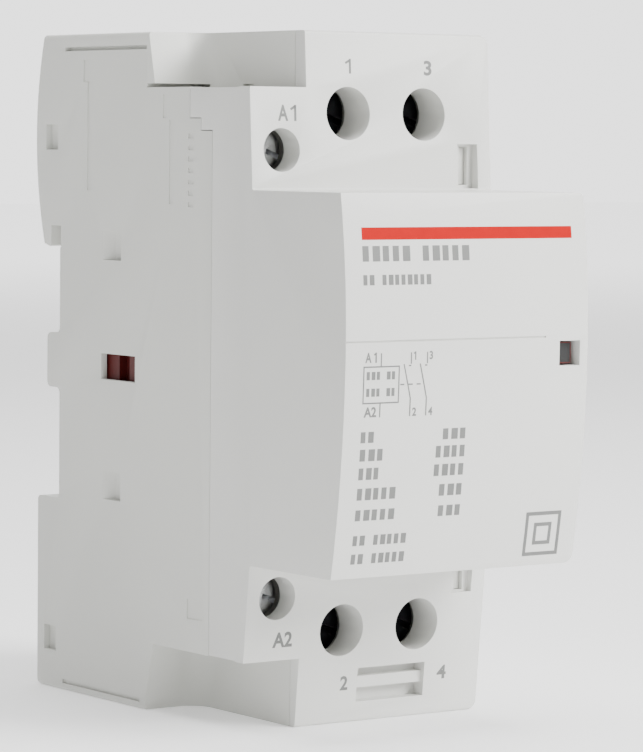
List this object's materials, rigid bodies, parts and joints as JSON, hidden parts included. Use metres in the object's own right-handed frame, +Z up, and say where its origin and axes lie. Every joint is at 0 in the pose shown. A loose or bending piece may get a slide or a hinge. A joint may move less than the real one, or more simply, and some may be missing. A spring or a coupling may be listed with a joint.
{
  "type": "din rail contactor",
  "caption": "Modular contactor for a 35 mm rail: stepped casing with a curved nose, sprung rail clip, magnet, moving contact carrier and clamp screw terminals.",
  "frame": {"origin": "middle of the rail seat: mid width, on the rail centreline, on the plane that the rail flange rests on", "axes": "+Y out of the back towards the rail and the wall, +Z up the height of the device, X across the width"},
  "size_m": [0.036, 0.0698, 0.085],
  "materials": {
    "casing_rear": "fine grained moulded thermoplastic, warm light grey",
    "casing_front": "fine grained moulded thermoplastic, light grey",
    "contact_block": "glass filled moulding, dark grey",
    "clip": "moulded thermoplastic, satin",
    "carrier_red": "moulded thermoplastic, dark red",
    "bobbin": "glass filled nylon, natural",
    "spring_steel": "drawn spring wire",
    "lamination": "stacked electrical sheet, oiled",
    "copper": "bare copper",
    "winding": "enamelled copper wire",
    "brass": "rolled brass strip",
    "silver": "silver alloy contact",
    "zinc": "zinc plated steel",
    "blackened_steel": "blackened screw steel",
    "rubber": "damper rubber"
  },
  "bodies": {
    "casing": {"base_housing": "casing_rear", "front_cover": "casing_front", "contact_block": "contact_block", "din_clip_spring": "spring_steel", "core_pads": "rubber", "fixed_core": "lamination", "shading_rings": "copper", "coil_bobbin": "bobbin", "coil_winding": "winding", "coil_lead_a1": "winding", "coil_lead_a2": "winding", "coil_terminal_a1": "brass", "coil_terminal_a2": "brass", "return_springs": "spring_steel", "terminal_bar_1": "brass", "terminal_bar_3": "brass", "terminal_bar_2": "brass", "terminal_bar_4": "brass", "fixed_tips": "silver"},
    "rail_clip": {"din_clip": "clip"},
    "carrier": {"contact_carrier": "carrier_red", "armature": "lamination", "armature_pin": "zinc", "contact_spring_left": "spring_steel", "contact_spring_right": "spring_steel"},
    "left_bridge": {"bridge_left": "copper", "bridge_tips_left": "silver"},
    "right_bridge": {"bridge_right": "copper", "bridge_tips_right": "silver"},
    "main_screw_1": {"screw_1": "blackened_steel"},
    "main_cage_1": {"cage_1": "zinc"},
    "main_screw_3": {"screw_3": "blackened_steel"},
    "main_cage_3": {"cage_3": "zinc"},
    "main_screw_2": {"screw_2": "blackened_steel"},
    "main_cage_2": {"cage_2": "zinc"},
    "main_screw_4": {"screw_4": "blackened_steel"},
    "main_cage_4": {"cage_4": "zinc"},
    "coil_screw_a1": {"coil_screw_a1": "zinc"},
    "coil_cage_a1": {"coil_cage_a1": "zinc"},
    "coil_screw_a2": {"coil_screw_a2": "zinc"},
    "coil_cage_a2": {"coil_cage_a2": "zinc"}
  },
  "joints": [
    {"name": "clip_slide", "type": "slide", "parent": "casing", "child": "rail_clip", "axis": [0, 0, -1], "range_m": [0, 0.0035], "stiffness_N_per_m": 2000, "springref_m": -0.002, "deforming": ["din_clip_spring"]},
    {"name": "carrier_slide", "type": "slide", "parent": "casing", "child": "carrier", "axis": [0, 1, 0], "range_m": [0, 0.0038], "stiffness_N_per_m": 1200, "springref_m": -0.003, "deforming": ["return_springs"]},
    {"name": "left_bridge_slide", "type": "slide", "parent": "carrier", "child": "left_bridge", "axis": [0, -1, 0], "range_m": [0, 0.00091], "deforming": ["contact_spring_left"]},
    {"name": "right_bridge_slide", "type": "slide", "parent": "carrier", "child": "right_bridge", "axis": [0, -1, 0], "range_m": [0, 0.00091], "deforming": ["contact_spring_right"]},
    {"name": "cage_1_slide", "type": "slide", "parent": "casing", "child": "main_cage_1", "axis": [0, -1, 0], "range_m": [0, 0.003]},
    {"name": "screw_1_turn", "type": "hinge", "parent": "casing", "child": "main_screw_1", "pos_m": [-0.00365, -0.036, 0.0322], "axis": [0, 1, 0], "range_deg": [0, 1351]},
    {"name": "cage_3_slide", "type": "slide", "parent": "casing", "child": "main_cage_3", "axis": [0, -1, 0], "range_m": [0, 0.003]},
    {"name": "screw_3_turn", "type": "hinge", "parent": "casing", "child": "main_screw_3", "pos_m": [0.0078, -0.036, 0.0322], "axis": [0, 1, 0], "range_deg": [0, 1351]},
    {"name": "cage_2_slide", "type": "slide", "parent": "casing", "child": "main_cage_2", "axis": [0, -1, 0], "range_m": [0, 0.003]},
    {"name": "screw_2_turn", "type": "hinge", "parent": "casing", "child": "main_screw_2", "pos_m": [-0.00365, -0.036, -0.0311], "axis": [0, 1, 0], "range_deg": [0, 1351]},
    {"name": "cage_4_slide", "type": "slide", "parent": "casing", "child": "main_cage_4", "axis": [0, -1, 0], "range_m": [0, 0.003]},
    {"name": "screw_4_turn", "type": "hinge", "parent": "casing", "child": "main_screw_4", "pos_m": [0.0078, -0.036, -0.0311], "axis": [0, 1, 0], "range_deg": [0, 1351]},
    {"name": "cage_a1_slide", "type": "slide", "parent": "casing", "child": "coil_cage_a1", "axis": [0, -1, 0], "range_m": [0, 0.00175]},
    {"name": "screw_a1_turn", "type": "hinge", "parent": "casing", "child": "coil_screw_a1", "pos_m": [-0.0136, -0.038, 0.0277], "axis": [0, 1, 0], "range_deg": [0, 1051]},
    {"name": "cage_a2_slide", "type": "slide", "parent": "casing", "child": "coil_cage_a2", "axis": [0, -1, 0], "range_m": [0, 0.00175]},
    {"name": "screw_a2_turn", "type": "hinge", "parent": "casing", "child": "coil_screw_a2", "pos_m": [-0.0136, -0.038, -0.0265], "axis": [0, 1, 0], "range_deg": [0, 1051]}
  ],
  "couplings": [
    {"joint": "left_bridge_slide", "follows": "carrier_slide", "ratio": 0.23684},
    {"joint": "right_bridge_slide", "follows": "carrier_slide", "ratio": 0.23684},
    {"joint": "screw_1_turn", "follows": "cage_1_slide", "rad_per_m": 7854},
    {"joint": "screw_3_turn", "follows": "cage_3_slide", "rad_per_m": 7854},
    {"joint": "screw_2_turn", "follows": "cage_2_slide", "rad_per_m": 7854},
    {"joint": "screw_4_turn", "follows": "cage_4_slide", "rad_per_m": 7854},
    {"joint": "screw_a1_turn", "follows": "cage_a1_slide", "rad_per_m": 10472},
    {"joint": "screw_a2_turn", "follows": "cage_a2_slide", "rad_per_m": 10472}
  ]
}
